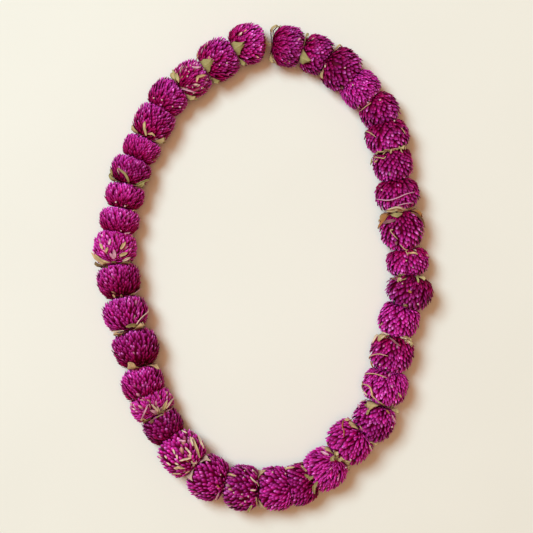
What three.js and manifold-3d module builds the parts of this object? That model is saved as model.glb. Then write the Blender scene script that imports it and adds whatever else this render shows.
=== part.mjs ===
// A fresh flower lei: one strand of globe amaranth heads on a thread, laid in an open oval.
// Millimetres, +Z up. Seen from above, +X is to the right and +Y towards the narrow end, where
// the two ends of the strand nearly meet and the thread is knotted. The heads lie on the
// surface z = 0, each with its axis level, and the thread runs through their centres.

import * as THREE from 'three';
import { ConvexHull } from 'three/addons/math/ConvexHull.js';
import { mergeVertices } from 'three/addons/utils/BufferGeometryUtils.js';
import Module from 'manifold-3d';

const wasm = await Module();
wasm.setup();

// Driving dimensions of a head
const BRACT_TIPS = 45; // points of the head's core, which carries about twice as many bracts
const BRACT_RISE = 1.9; // how far a bract's tip stands out of the core
const BRACT_UNEVENNESS = 0.3; // spread of that rise from bract to bract
const BRACT_LEAN = 1.5; // how far a tip leans towards the head's apex
const CORE_INSET = 0.7; // the core's radius is less than the head's by this share of the rise
const SHOULDER = 2.35; // 2 would be an oval outline; more gives the head fuller shoulders
const BASE_LENGTH = 1.08; // the unpressed head, in half lengths of its place on the strand
const APEX_LENGTH = 1.16;
const FIRST_BASE_AT = 1.2; // where the strand enters the first head, in half lengths
const LAST_APEX_AT = 0.85; // where it leaves the last head
const FLOOR_FLAT = 1.3; // the underside is pressed flat by this much
const SPREAD_JITTER = 0.12; // unevenness of the bracts' places round the axis, in radians
const FIRST_SEED = 11; // each head's bracts are drawn from its own seed, counted on from this

// Driving dimensions of the strand
const CENTRING = [0.2, -0.7]; // moves the places below, so that the lei's middle is the origin
const THREAD_RADIUS = 0.4;
const THREAD_SIDES = 8;
const BORE_RADIUS = 1.3; // the needle's hole through each head
const BORE_SIDES = 6;
const KNOT_RADIUS = 1.2;
const KNOT_SHARE = 0.45; // its place along the bare thread between the two end heads
const TAIL_ENDS = [[-0.5, 4.6, 1.2], [0.3, -4.8, 0.6]]; // the two cut ends, from the knot
const PAIR_GAP = 0.25; // half of the gap between two heads
const LEAFY_GAP = 1.05; // half of the gap between two heads with leafy bracts between them
const NEST_DEPTH = 1.6; // how far a head's apex sits in the hollow base of the next
const PRESS_SOFTNESS = 1.5; // roundness of the dent where two heads press on each other

// Driving dimensions of the leafy bracts at a head's base
const LEAF_THICKNESS = 0.65;
const LEAF_RING_RADIUS = 2.5;
const LEAF_RING_HOLE = 1.2;
const LEAF_RING_SIDES = 6;
const LEAF_BEND_AT = 0.68; // share of the reach where a leaf starts to lean

// A leaf's outline as shares of its reach and of its width
const LEAF_OUTLINE = [
  [0.12, 0.3],
  [0.4, 0.5],
  [0.68, 1],
  [0.86, 0.8],
  [1, 0.14],
];

// The heads from the first after the gap, clockwise as seen from above. Each row is the head's
// place [x, y], its diameter across the strand and its length along it. The strand runs into a
// head at its base and leaves it at the apex.
const HEADS = [
  [16.3, 144.3, 26.7, 20.2],
  [34.5, 139.1, 26.0, 20.2],
  [50.4, 129.4, 28.6, 23.4],
  [63.4, 116.7, 26.0, 21.5],
  [75.7, 102.4, 26.0, 21.5],
  [80.9, 85.8, 28.6, 21.5],
  [84.8, 67.0, 26.0, 22.1],
  [87.4, 48.4, 28.6, 20.8],
  [90.7, 24.7, 28.6, 24.7],
  [94.3, 3.6, 27.3, 18.9],
  [95.2, -15.0, 30.2, 22.1],
  [88.7, -33.2, 26.7, 22.8],
  [83.9, -55.3, 28.0, 24.7],
  [79.6, -76.7, 29.3, 23.4],
  [72.5, -98.8, 27.3, 24.7],
  [56.9, -112.5, 29.9, 24.7],
  [40.9, -129.9, 28.2, 25.6],
  [24.4, -140.4, 27.3, 22.0],
  [9.4, -143.0, 28.6, 25.0],
  [-12.4, -142.7, 29.9, 24.1],
  [-34.5, -136.2, 29.9, 24.1],
  [-52.0, -120.3, 29.9, 27.3],
  [-64.5, -102.8, 25.6, 22.8],
  [-71.8, -89.1, 28.6, 20.0],
  [-77.7, -75.4, 28.0, 22.1],
  [-81.9, -53.3, 29.9, 24.7],
  [-88.7, -30.6, 29.3, 22.1],
  [-93.3, -9.1, 28.0, 22.8],
  [-95.9, 12.4, 28.0, 23.4],
  [-93.3, 29.9, 26.0, 17.6],
  [-90.0, 46.2, 25.4, 17.6],
  [-86.1, 62.4, 26.0, 19.5],
  [-79.4, 76.7, 24.1, 18.2],
  [-71.2, 93.6, 26.0, 24.7],
  [-61.4, 110.8, 25.4, 22.1],
  [-46.5, 122.5, 24.7, 23.4],
  [-28.9, 135.2, 27.3, 25.4],
  [-10.1, 145.6, 26.7, 23.4],
];

// The widest ring of a head that is fuller at one end: head number, then the ring's place from
// the middle towards the apex, in half lengths
const WIDEST = new Map([
  [7, -0.2],
  [9, -0.2],
  [10, -0.15],
  [11, -0.15],
  [13, -0.1],
  [14, -0.1],
  [26, 0.15],
  [27, 0.12],
  [28, 0.15],
  [30, 0.12],
  [31, 0.12],
  [32, 0.15],
  [33, 0.15],
  [34, 0.12],
]);

// Heads that turned on the thread, so that their base looks up at the viewer: head number,
// then how far the base is raised and how far it is swung outwards, in degrees.
const TURNED = new Map([
  [11, [0, 17]],
  [16, [30, 0]],
  [17, [38, 0]],
  [19, [20, 0]],
  [22, [28, 0]],
  [24, [42, 0]],
  [29, [42, 0]],
  [36, [22, 0]],
]);

// Leafy bracts at the base of a head: head number, then one row for each of the two leaves.
// A row is its place round the strand (0 on top, positive on the outside of the oval), its
// reach from the thread, its width, and its lean along the strand at the tip.
const LEAFY_BRACTS = new Map([
  [1, [[58, 14.5, 8, 4], [-60, 14, 7, 3]]],
  [2, [[-30, 14.6, 10, 6.5], [48, 14, 7, 1]]],
  [3, [[-58, 14.5, 8, 3], [62, 14.5, 7, 1.5]]],
  [7, [[-38, 15, 9, 0], [36, 15, 9, 0]]],
  [9, [[-66, 15.5, 10, 5], [60, 15.5, 10, 4.5]]],
  [11, [[-30, 15, 8, 2], [42, 15, 8, 2]]],
  [13, [[-50, 15, 8, 4], [48, 15, 8, 3]]],
  [15, [[-28, 15, 9, 4], [60, 15, 7, 2]]],
  [16, [[-36, 15.5, 8, 2], [58, 15, 7, -3]]],
  [17, [[-40, 15, 8, 2], [30, 15, 8, -3]]],
  [20, [[52, 15, 8, -4], [-62, 14.5, 7, -4]]],
  [22, [[28, 15, 8, -3.5], [-42, 15, 8, -3.5]]],
  [24, [[-24, 14, 7, 0], [42, 14, 7, 0]]],
  [26, [[18, 15, 8, 4], [-62, 14.5, 7, -3]]],
  [27, [[-40, 15.5, 9, 2], [38, 15.5, 9, 2]]],
  [29, [[62, 15.5, 9, 3], [-40, 14.5, 8, 1]]],
  [32, [[56, 14.6, 8, 3], [-52, 14.6, 8, 3]]],
  [34, [[52, 14, 8, 3], [-58, 14, 8, 3.5]]],
  [36, [[46, 14, 9, 1.5], [-62, 13.5, 8, 3.5]]],
  [37, [[2, 14.8, 10, 6.5], [-66, 14, 7, 2]]],
  [38, [[-2, 14.8, 10, 6.5], [-60, 14, 7, 2]]],
]);

// Colours of the solids
const MAGENTA = { color: 0x8f1160, roughness: 0.55, metalness: 0 };
const LEAF_GREEN = { color: 0x9a8f52, roughness: 0.7, metalness: 0 };
const THREAD_BEIGE = { color: 0xc9b48c, roughness: 0.85, metalness: 0 };

const UP = new THREE.Vector3(0, 0, 1);
const radians = THREE.MathUtils.degToRad;

// A small seeded generator, so that every run gives the same heads
function seededRandom(seed) {
  let state = seed;
  return () => {
    state = (state * 1664525 + 1013904223) % 4294967296;
    return state / 4294967296;
  };
}

const headNumber = (index) => String(index + 1).padStart(2, '0');
const headRadius = (index) => HEADS[index][2] / 2;
const halfLength = (index) => HEADS[index][3] / 2;
const widestAt = (index) => WIDEST.get(index + 1) ?? 0;
const turnOf = (index) => (TURNED.get(index + 1) ?? [0, 0]).map(radians);

// A head's centre: it lies on the surface with its underside slightly flattened
function headCentre(index) {
  const [x, y] = HEADS[index];
  const [raised] = turnOf(index);
  const power = SHOULDER / (SHOULDER - 1);
  const side = (headRadius(index) * Math.cos(raised)) ** power;
  const end = (halfLength(index) * Math.sin(raised)) ** power;
  return new THREE.Vector3(x, y, (side + end) ** (1 / power) - FLOOR_FLAT);
}

// Turns a triangle soup or an indexed geometry into a solid
function solidOf(geometry) {
  const bare = geometry.clone();
  bare.deleteAttribute('normal');
  bare.deleteAttribute('uv');
  const merged = mergeVertices(bare, 1e-4);
  return new wasm.Manifold(new wasm.Mesh({
    numProp: 3,
    vertProperties: new Float32Array(merged.attributes.position.array),
    triVerts: new Uint32Array(merged.index.array),
  }));
}

function geometryOf(solid) {
  const mesh = solid.getMesh();
  const positions = new Float32Array(mesh.numVert * 3);
  for (let vertex = 0; vertex < mesh.numVert; vertex += 1) {
    for (let axis = 0; axis < 3; axis += 1) {
      positions[vertex * 3 + axis] = mesh.vertProperties[vertex * mesh.numProp + axis];
    }
  }
  const geometry = new THREE.BufferGeometry();
  geometry.setAttribute('position', new THREE.BufferAttribute(positions, 3));
  geometry.setIndex(new THREE.BufferAttribute(new Uint32Array(mesh.triVerts), 1));
  geometry.computeVertexNormals();
  return geometry;
}

// The corners of a regular outline round the origin
function roundCorners(radius, sides) {
  const corners = [];
  for (let side = 0; side < sides; side += 1) {
    const angle = (side / sides) * Math.PI * 2;
    corners.push(new THREE.Vector2(Math.cos(angle), Math.sin(angle)).multiplyScalar(radius));
  }
  return corners;
}

function namedMesh(name, geometry, look) {
  const mesh = new THREE.Mesh(geometry, new THREE.MeshStandardMaterial({ ...look, flatShading: true }));
  mesh.name = name;
  return mesh;
}

// The place where two heads meet, given by their indices, and the direction of the strand there
function meetingPlace(before, after) {
  const from = headCentre(before);
  const to = headCentre(after);
  const share = halfLength(before) / (halfLength(before) + halfLength(after));
  return {
    place: from.clone().lerp(to, share),
    along: to.clone().sub(from).normalize(),
    radius: Math.min(headRadius(before), headRadius(after)),
  };
}

// The apex of one head is a shallow dome that sits in the base of the next. This is how far
// the dome stands forward at a distance from the strand.
function nestAt(distance, radius) {
  return NEST_DEPTH * (1 - Math.min(1, (distance / radius) ** 2));
}

// Where the thread crosses a meeting place: in the middle of the dome
function holePlace(meeting) {
  return meeting.place.clone().addScaledVector(meeting.along, NEST_DEPTH);
}

// Keeps a point of a head on its own side of a meeting place, with a soft dent where it would
// have crossed. side is 1 for the head before the place and -1 for the head after it.
function pressPoint(point, meeting, side, gap) {
  const offset = point.clone().sub(meeting.place);
  const reach = offset.dot(meeting.along);
  const distance = offset.clone().addScaledVector(meeting.along, -reach).length();
  const inside = side * (nestAt(distance, meeting.radius) - reach) - gap;
  const pressed = (inside + Math.hypot(inside, PRESS_SOFTNESS)) / 2;
  point.addScaledVector(meeting.along, side * (inside - pressed));
}

// Evenly spread directions on a sphere, turned and jittered a little for each head
function spreadDirections(count, random) {
  const golden = Math.PI * (3 - Math.sqrt(5));
  const start = random() * Math.PI * 2;
  const directions = [];
  for (let index = 0; index < count; index += 1) {
    const height = 1 - (2 * index + 1) / count + (random() - 0.5) / count;
    const ring = Math.sqrt(Math.max(0, 1 - height * height));
    const angle = start + golden * index + (random() - 0.5) * SPREAD_JITTER;
    directions.push(new THREE.Vector3(ring * Math.cos(angle), ring * Math.sin(angle), height));
  }
  return directions;
}

// The core of a head as triangles between evenly spread points. Directions have z along the
// head's own axis, from -1 at the base to 1 at the apex.
function coreFaces(directions) {
  return new ConvexHull().setFromPoints(directions).faces.map((face) => {
    const corners = [];
    let edge = face.edge;
    do {
      corners.push(edge.head().point);
      edge = edge.next;
    } while (edge !== face.edge);
    return corners;
  });
}

// Where a direction meets the head's core: round across, with full shoulders at both ends and
// its widest ring nearer the base or the apex, as each head has it
function corePoint(direction, index) {
  const across = headRadius(index) - BRACT_RISE * CORE_INSET;
  const half = halfLength(index);
  const ring = Math.hypot(direction.x, direction.y);
  const reach = (ring ** SHOULDER + Math.abs(direction.z) ** SHOULDER) ** (-1 / SHOULDER);
  const length = direction.z < 0 ? half * BASE_LENGTH : half * APEX_LENGTH;
  return new THREE.Vector3(
    direction.x * reach * across,
    direction.y * reach * across,
    direction.z * reach * length + widestAt(index) * half * ring * ring,
  );
}

// The tip of the bract on a face: it stands out of the face and leans towards the apex
function bractTip(corners, index, random) {
  const middle = corners[0].clone().add(corners[1]).add(corners[2]).normalize();
  const face = corners.map((corner) => corePoint(corner, index));
  const normal = new THREE.Triangle(...face).getNormal(new THREE.Vector3());
  const centre = face[0].clone().add(face[1]).add(face[2]).divideScalar(3);
  const rise = BRACT_RISE * (1 + BRACT_UNEVENNESS * (random() - 0.5));
  const lean = BRACT_LEAN * Math.sqrt(Math.max(0, 1 - middle.z * middle.z));
  return centre.addScaledVector(normal, rise).add(new THREE.Vector3(0, 0, lean));
}

// The direction of a head's own axis: along the strand, turned for the heads in TURNED
function headAxis(index) {
  const previous = (index + HEADS.length - 1) % HEADS.length;
  const next = (index + 1) % HEADS.length;
  const axis = headCentre(next).sub(headCentre(previous)).setZ(0).normalize();
  const [raised, swung] = turnOf(index);
  const outward = new THREE.Vector3().crossVectors(UP, axis);
  axis.applyAxisAngle(outward, raised);
  axis.applyAxisAngle(UP, -swung);
  return axis;
}

// The hole for the needle, straight through a head along the strand
function boreSolid(index, meetings) {
  const enter = holePlace(meetings.before);
  const leave = holePlace(meetings.after);
  const length = halfLength(index) * 4;
  const bore = new THREE.CylinderGeometry(BORE_RADIUS, BORE_RADIUS, length, BORE_SIDES);
  const along = leave.clone().sub(enter).normalize();
  bore.applyQuaternion(new THREE.Quaternion().setFromUnitVectors(new THREE.Vector3(0, 1, 0), along));
  const middle = enter.lerp(leave, 0.5);
  bore.translate(middle.x, middle.y, middle.z);
  return solidOf(bore);
}

// Everything below the surface that the lei lies on
function floorSolid() {
  const side = 400;
  const floor = new THREE.BoxGeometry(side, side, side);
  floor.translate(0, 0, -side / 2);
  return solidOf(floor);
}

function flowerHead(index, meetings, floor) {
  const random = seededRandom(index + FIRST_SEED);
  const centre = headCentre(index);
  const axis = headAxis(index);
  const turn = new THREE.Quaternion().setFromUnitVectors(new THREE.Vector3(0, 0, 1), axis);
  const placed = (point) => {
    const world = point.clone().applyQuaternion(turn).add(centre);
    pressPoint(world, meetings.before, -1, meetings.before.gap);
    pressPoint(world, meetings.after, 1, meetings.after.gap);
    return world;
  };
  const triangles = [];
  for (const corners of coreFaces(spreadDirections(BRACT_TIPS, random))) {
    const tip = placed(bractTip(corners, index, random));
    const face = corners.map((corner) => placed(corePoint(corner, index)));
    for (let side = 0; side < 3; side += 1) {
      triangles.push(face[side], face[(side + 1) % 3], tip);
    }
  }
  const raw = solidOf(new THREE.BufferGeometry().setFromPoints(triangles));
  const solid = raw.subtract(boreSolid(index, meetings)).subtract(floor);
  return namedMesh(`flower_head_${headNumber(index)}`, geometryOf(solid), MAGENTA);
}

// One leaf as a thin curved strip: it leaves the ring at the thread between the two heads and
// leans over one of them where the groove between the heads widens
function leafSolid(meeting, [around, reach, width, lean]) {
  const away = UP.clone().applyAxisAngle(meeting.along, -radians(around));
  const sideways = new THREE.Vector3().crossVectors(meeting.along, away).normalize();
  const sections = LEAF_OUTLINE.map(([reachShare, widthShare]) => {
    const distance = reach * reachShare;
    const open = Math.max(0, reachShare - LEAF_BEND_AT) / (1 - LEAF_BEND_AT);
    const forward = nestAt(distance, meeting.radius) + lean * open * open;
    const middle = meeting.place.clone()
      .addScaledVector(away, distance)
      .addScaledVector(meeting.along, forward);
    const half = (width * widthShare) / 2;
    return [[-half, -1], [half, -1], [half, 1], [-half, 1]].map(([offset, face]) => middle.clone()
      .addScaledVector(sideways, offset)
      .addScaledVector(meeting.along, (face * LEAF_THICKNESS) / 2));
  });
  return solidOf(loftedStrip(sections));
}

// A closed strip through sections of four corners each
function loftedStrip(sections) {
  const faces = [0, 2, 1, 0, 3, 2];
  const last = (sections.length - 1) * 4;
  for (let start = 0; start < last; start += 4) {
    for (let corner = 0; corner < 4; corner += 1) {
      const next = (corner + 1) % 4;
      faces.push(start + corner, start + next, start + 4 + next);
      faces.push(start + corner, start + 4 + next, start + 4 + corner);
    }
  }
  faces.push(last, last + 1, last + 2, last, last + 2, last + 3);
  const geometry = new THREE.BufferGeometry().setFromPoints(sections.flat());
  geometry.setIndex(faces);
  return geometry;
}

// The scar where the leaves grew: a small ring round the thread at the base of the head
function leafRing(meeting) {
  const outline = new THREE.Shape(roundCorners(LEAF_RING_RADIUS, LEAF_RING_SIDES));
  outline.holes.push(new THREE.Path(roundCorners(LEAF_RING_HOLE, LEAF_RING_SIDES).reverse()));
  const ring = new THREE.ExtrudeGeometry(outline, { depth: LEAF_THICKNESS, bevelEnabled: false });
  ring.translate(0, 0, -LEAF_THICKNESS / 2);
  ring.applyQuaternion(new THREE.Quaternion().setFromUnitVectors(UP, meeting.along));
  const middle = holePlace(meeting);
  ring.translate(middle.x, middle.y, middle.z);
  return solidOf(ring);
}

function leafyBracts(index, meeting) {
  const leaves = LEAFY_BRACTS.get(index + 1).map((leaf) => leafSolid(meeting, leaf));
  const solid = leaves.reduce((joined, leaf) => joined.add(leaf), leafRing(meeting));
  return namedMesh(`leafy_bracts_${headNumber(index)}`, geometryOf(solid), LEAF_GREEN);
}

// A smooth route whose steps fall on its own points
class SteppedRoute extends THREE.CatmullRomCurve3 {
  getUtoTmapping(share) {
    return share;
  }
}

// The thread's route: straight through each head, bending only where two heads meet
function threadRoute(meetings, knotPlace) {
  return new SteppedRoute([knotPlace, ...meetings.map(holePlace), knotPlace]);
}

function threadLength(route, steps) {
  const section = new THREE.Shape(roundCorners(THREAD_RADIUS, THREAD_SIDES));
  return solidOf(new THREE.ExtrudeGeometry(section, { steps, extrudePath: route }));
}

// The thread with the knot that closes the strand and the knot's two cut ends
function thread(meetings) {
  const from = meetings[HEADS.length].place;
  const to = meetings[0].place;
  const knotPlace = from.clone().lerp(to, KNOT_SHARE);
  const knot = new THREE.IcosahedronGeometry(KNOT_RADIUS, 0);
  knot.translate(knotPlace.x, knotPlace.y, knotPlace.z);
  const route = threadRoute(meetings, knotPlace);
  let solid = threadLength(route, route.points.length - 1).add(solidOf(knot));
  for (const end of TAIL_ENDS) {
    const tip = knotPlace.clone().add(new THREE.Vector3(...end));
    solid = solid.add(threadLength(new THREE.LineCurve3(knotPlace, tip), 1));
  }
  return namedMesh('thread', geometryOf(solid), THREAD_BEIGE);
}

// The places where the strand enters each head, and the one where it leaves the last
function allMeetings() {
  const meetings = HEADS.slice(1).map((row, index) => meetingPlace(index, index + 1));
  const first = 0;
  const last = HEADS.length - 1;
  const start = meetingPlace(last, first);
  const end = meetingPlace(last, first);
  start.place = headCentre(first).addScaledVector(start.along, -halfLength(first) * FIRST_BASE_AT);
  end.place = headCentre(last).addScaledVector(end.along, halfLength(last) * LAST_APEX_AT);
  return [start, ...meetings, end];
}

function lei() {
  const group = new THREE.Group();
  const meetings = allMeetings();
  const floor = floorSolid();
  HEADS.forEach((row, index) => {
    const leafy = LEAFY_BRACTS.has(index + 1);
    const leafyAfter = LEAFY_BRACTS.has(index + 2);
    const before = { ...meetings[index], gap: leafy ? LEAFY_GAP : PAIR_GAP };
    const after = { ...meetings[index + 1], gap: leafyAfter ? LEAFY_GAP : PAIR_GAP };
    group.add(flowerHead(index, { before, after }, floor));
    if (leafy) {
      group.add(leafyBracts(index, meetings[index]));
    }
  });
  group.add(thread(meetings));
  group.position.set(...CENTRING, 0);
  return group;
}

export default lei();
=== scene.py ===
"""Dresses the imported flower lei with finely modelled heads, leaves, thread and dry fibres.

Everything is worked out in millimetres in the part's own frame, and Soup.piece() turns it into metres.
Small things that show on the heads are placed by where they are seen in the photograph. Each is let
down along the line of sight until it rests on the heads.
"""

import math

import bpy
import numpy as np
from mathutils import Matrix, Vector
from mathutils.bvhtree import BVHTree
from numpy.random import default_rng


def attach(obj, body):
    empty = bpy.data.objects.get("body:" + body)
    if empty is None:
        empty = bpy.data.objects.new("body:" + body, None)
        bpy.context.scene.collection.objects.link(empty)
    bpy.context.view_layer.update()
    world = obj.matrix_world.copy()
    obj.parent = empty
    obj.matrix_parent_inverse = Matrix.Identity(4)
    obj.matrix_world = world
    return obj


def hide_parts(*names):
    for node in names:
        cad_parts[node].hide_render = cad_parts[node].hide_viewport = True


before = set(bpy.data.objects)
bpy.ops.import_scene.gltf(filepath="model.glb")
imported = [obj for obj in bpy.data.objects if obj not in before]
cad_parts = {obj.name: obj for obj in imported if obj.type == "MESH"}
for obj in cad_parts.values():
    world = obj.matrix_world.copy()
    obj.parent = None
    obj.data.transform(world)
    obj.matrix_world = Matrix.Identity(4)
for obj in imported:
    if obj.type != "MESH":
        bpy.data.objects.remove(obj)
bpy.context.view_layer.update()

MM = 0.001
UP = np.array([0.0, 0.0, 1.0])
NEARLY_UP = UP + 1e-3  # so that no route runs quite along it

# Colours


def linear(red, green, blue):
    """A colour seen on a screen, from 0 to 255, as the linear values that Blender works in."""
    share = np.array([red, green, blue]) / 255
    return np.where(share <= 0.04045, share / 12.92, ((share + 0.055) / 1.055) ** 2.4)


# Bract colours from root to tip, at the base and at the apex of a head. The roots are painted shade of
# the deep crevices and the tips a painted highlight. The darker base colours are the crimson of older
# bracts plus painted shade where a head nests against its neighbour.
BASE_ROOT_SHADE = linear(84, 0, 22)
BASE_MIDDLE = linear(138, 0, 52)
BASE_TIP_HIGHLIGHT = linear(176, 18, 96)
APEX_ROOT_SHADE = linear(112, 0, 48)
APEX_MIDDLE = linear(156, 0, 92)
APEX_TIP_HIGHLIGHT = linear(212, 66, 182)
# A pale papery tip, lightened further as a painted glint
PAPERY_GLINT_TIP = linear(240, 116, 214)
# The core under the bracts is coloured as painted shade of the deep crevices
CORE_CREVICE_SHADE = linear(86, 0, 28)
# Painted shade on the parts of the leaves hidden between two heads
LEAF_PAINTED_SHADE = linear(104, 14, 44)
THREAD_BEIGE = linear(206, 184, 146)
OLIVE = linear(156, 136, 84)
GREEN = linear(174, 168, 104)
STRAW = linear(200, 170, 122)
CREAM = linear(228, 198, 172)
TAN = linear(208, 170, 124)
ORANGE = linear(170, 104, 54)
BROWN = linear(112, 76, 46)
ROSE = linear(220, 156, 180)
DUSK = linear(140, 82, 92)
FADED_TONES = np.array([CREAM, ROSE, DUSK, TAN])

# The photograph, taken from straight above
PHOTO_PIXELS = 533
PHOTO_WIDTH = 346.45  # what its frame takes in, at the height of the heads' middles
VIEW_CENTRE = np.array([2.8, 0.3])
MIDDLE_HEIGHT = 13.0
LENS = 100.0
SENSOR = 36.0
EYE = np.array([*VIEW_CENTRE, MIDDLE_HEIGHT + PHOTO_WIDTH * LENS / SENSOR])

# The heads, clockwise from the gap: place [x, y], diameter across the strand, length along it
CENTRING = np.array([0.2, -0.7, 0.0])
HEADS = [
    [16.3, 144.3, 26.7, 20.2],
    [34.5, 139.1, 26, 20.2],
    [50.4, 129.4, 28.6, 23.4],
    [63.4, 116.7, 26, 21.5],
    [75.7, 102.4, 26, 21.5],
    [80.9, 85.8, 28.6, 21.5],
    [84.8, 67, 26, 22.1],
    [87.4, 48.4, 28.6, 20.8],
    [90.7, 24.7, 28.6, 24.7],
    [94.3, 3.6, 27.3, 18.9],
    [95.2, -15, 30.2, 22.1],
    [88.7, -33.2, 26.7, 22.8],
    [83.9, -55.3, 28, 24.7],
    [79.6, -76.7, 29.3, 23.4],
    [72.5, -98.8, 27.3, 24.7],
    [56.9, -112.5, 29.9, 24.7],
    [40.9, -129.9, 28.2, 25.6],
    [24.4, -140.4, 27.3, 22],
    [9.4, -143, 28.6, 25],
    [-12.4, -142.7, 29.9, 24.1],
    [-34.5, -136.2, 29.9, 24.1],
    [-52, -120.3, 29.9, 27.3],
    [-64.5, -102.8, 25.6, 22.8],
    [-71.8, -89.1, 28.6, 20],
    [-77.7, -75.4, 28, 22.1],
    [-81.9, -53.3, 29.9, 24.7],
    [-88.7, -30.6, 29.3, 22.1],
    [-93.3, -9.1, 28, 22.8],
    [-95.9, 12.4, 28, 23.4],
    [-93.3, 29.9, 26, 17.6],
    [-90, 46.2, 25.4, 17.6],
    [-86.1, 62.4, 26, 19.5],
    [-79.4, 76.7, 24.1, 18.2],
    [-71.2, 93.6, 26, 24.7],
    [-61.4, 110.8, 25.4, 22.1],
    [-46.5, 122.5, 24.7, 23.4],
    [-28.9, 135.2, 27.3, 25.4],
    [-10.1, 145.6, 26.7, 23.4],
]

# Where the widest ring of an uneven head lies, from its middle towards the apex, in half lengths
WIDEST = {
    7: -0.2, 9: -0.2, 10: -0.15, 11: -0.15, 13: -0.1, 14: -0.1,
    26: 0.15, 27: 0.12, 28: 0.15, 30: 0.12, 31: 0.12, 32: 0.15, 33: 0.15, 34: 0.12,
}

# Heads that turned on the thread: how far the base is raised and swung outwards, in degrees
TURNED = {
    11: [0, 17], 16: [30, 0], 17: [38, 0], 19: [20, 0],
    22: [28, 0], 24: [42, 0], 29: [42, 0], 36: [22, 0],
}

# Form of a head, as in the part's source
SHOULDER = 2.35
BASE_LENGTH = 1.08
APEX_LENGTH = 1.16
FIRST_BASE_AT = 1.2
LAST_APEX_AT = 0.85
FLOOR_FLAT = 1.3
NEST_DEPTH = 1.6
PAIR_GAP = 0.25
LEAFY_GAP = 1.05
PRESS_SOFTNESS = 1.5
FLOOR_SOFTNESS = 0.9

# Seeds of the random draws
HEAD_SEED = 100
LEAF_SEED = 500
OVERLAP_SEED = 700
STRIP_SEED = 41
BLADE_SEED = 42
FLORET_SEED = 43

# Bracts of a head
BRACT_COUNT = 350
FINE_HEADS = {1, 4, 14, 17, *range(24, 39)}  # whose bracts are slimmer, and more in number
FINE_COUNT = 520
FINE_SHARE = 0.79  # of the usual width and keel
TWIN_SHARE = 0.2  # of the bracts, those that stand as a pair in the form of a V
TWIN_SPREAD = 0.05
TWIN_SWAY = 0.2
SWAY_SPREAD = 0.14
ROLL_SPREAD = 0.22
BRACT_STATIONS = np.array([0.0, 0.35, 0.6, 0.8, 0.92])  # shares of a bract's length, but for the tip
BRACT_WIDTHS = np.array([0.6, 0.9, 1.0, 0.74, 0.38])
BRACT_KEELS = np.array([0.38, 0.57, 0.63, 0.5, 0.3])
KEEL_SHARPNESS = math.radians(42)
BRACT_SECTION = [[-1, 0], [0, 1], [1, 0]]  # edge, keel, edge
BRACT_PAINTED_LIGHT = np.array([0.52, 1.3, 0.52])  # painted highlight along the keel and painted shade along the edges, for each line of the section
# Painted highlight on the point of each bract
TIP_PAINTED_HIGHLIGHT = 1.1
BRACT_HALF_WIDTH = 1.33
BASE_SLIMNESS = 0.25
SIZE_SPREAD = [0.85, 1.15]
BRACT_REACH = 2.0  # length of a bract at the apex
BASE_REACH = 3.2  # how much longer it is at the base
BRACT_DEPTH = 2.3  # how deep its root lies at the apex
BASE_RISE = 1.2  # how much higher the root lies at the base
DEPTH_SPREAD = 0.28
BRACT_STAND = 0.7  # how far the tips stand out
STAND_SPREAD = [0.5, 1.4]
RIM_FLARE = 0.55  # how much more they do round the rim of the apex
RIM_AT = 0.55
RIM_WIDTH = 0.3
BRACT_OVERLAP = [0.2, 1.7]  # least and greatest reach of a bract past the gap between two heads
BRACT_BED = 0.5  # how deep under the head's outline the bracts lie
CORE_DEPTH = 1.6
TIP_COVER = 0.65  # how far the layer of tips that carries the small things stands out

# Leafy bracts at the base of a head: tone of the fresh root, tone of the dry tip, then for each leaf
# its place round the strand in degrees, reach, width and lean at the tip
LEAFY_BRACTS = {
    1: [OLIVE, STRAW, [58, 14.5, 8, 4], [-60, 14, 7, 3]],
    2: [GREEN, OLIVE, [-30, 14.6, 10, 6.5], [48, 14, 7, 1]],
    3: [OLIVE, TAN, [-58, 14.5, 8, 3], [62, 14.5, 7, 1.5]],
    7: [OLIVE, STRAW, [-38, 15, 9, 0], [36, 15, 9, 0]],
    9: [OLIVE, ORANGE, [-66, 15.5, 10, 5], [60, 15.5, 10, 4.5]],
    11: [GREEN, STRAW, [-30, 15, 8, 2], [42, 15, 8, 2]],
    13: [OLIVE, STRAW, [-50, 15, 8, 4], [48, 15, 8, 3]],
    15: [OLIVE, STRAW, [-28, 15, 9, 4], [60, 15, 7, 2]],
    16: [OLIVE, TAN, [-36, 15.5, 8, 2], [58, 15, 7, -3]],
    17: [OLIVE, STRAW, [-40, 15, 8, 2], [30, 15, 8, -3]],
    20: [DUSK, STRAW, [52, 15, 8, -4], [-62, 14.5, 7, -4]],
    22: [DUSK, CREAM, [28, 15, 8, -3.5], [-42, 15, 8, -3.5]],
    24: [OLIVE, BROWN, [-24, 14, 7, 0], [42, 14, 7, 0]],
    26: [TAN, TAN, [18, 15, 8, 4], [-62, 14.5, 7, -3]],
    27: [BROWN, TAN, [-40, 15.5, 9, 2], [38, 15.5, 9, 2]],
    29: [OLIVE, BROWN, [62, 15.5, 9, 3], [-40, 14.5, 8, 1]],
    32: [GREEN, OLIVE, [56, 14.6, 8, 3], [-52, 14.6, 8, 3]],
    34: [OLIVE, STRAW, [52, 14, 8, 3], [-58, 14, 8, 3.5]],
    36: [GREEN, STRAW, [46, 14, 9, 1.5], [-62, 13.5, 8, 3.5]],
    37: [GREEN, OLIVE, [2, 14.8, 10, 6.5], [-66, 14, 7, 2]],
    38: [GREEN, OLIVE, [-2, 14.8, 10, 6.5], [-60, 14, 7, 2]],
}
LEAF_OUTLINE = np.array([[0.12, 0.3], [0.4, 0.5], [0.68, 1], [0.86, 0.8], [1, 0.14]])
LEAF_BEND_AT = 0.68
LEAF_STEPS = 20
LEAF_COLUMNS = 11
LEAF_THICKNESS = 0.4
LEAF_RING_RADIUS = 2.0
LEAF_RING_WIRE = 0.3
LEAF_HOLLOW = 0.9
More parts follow.
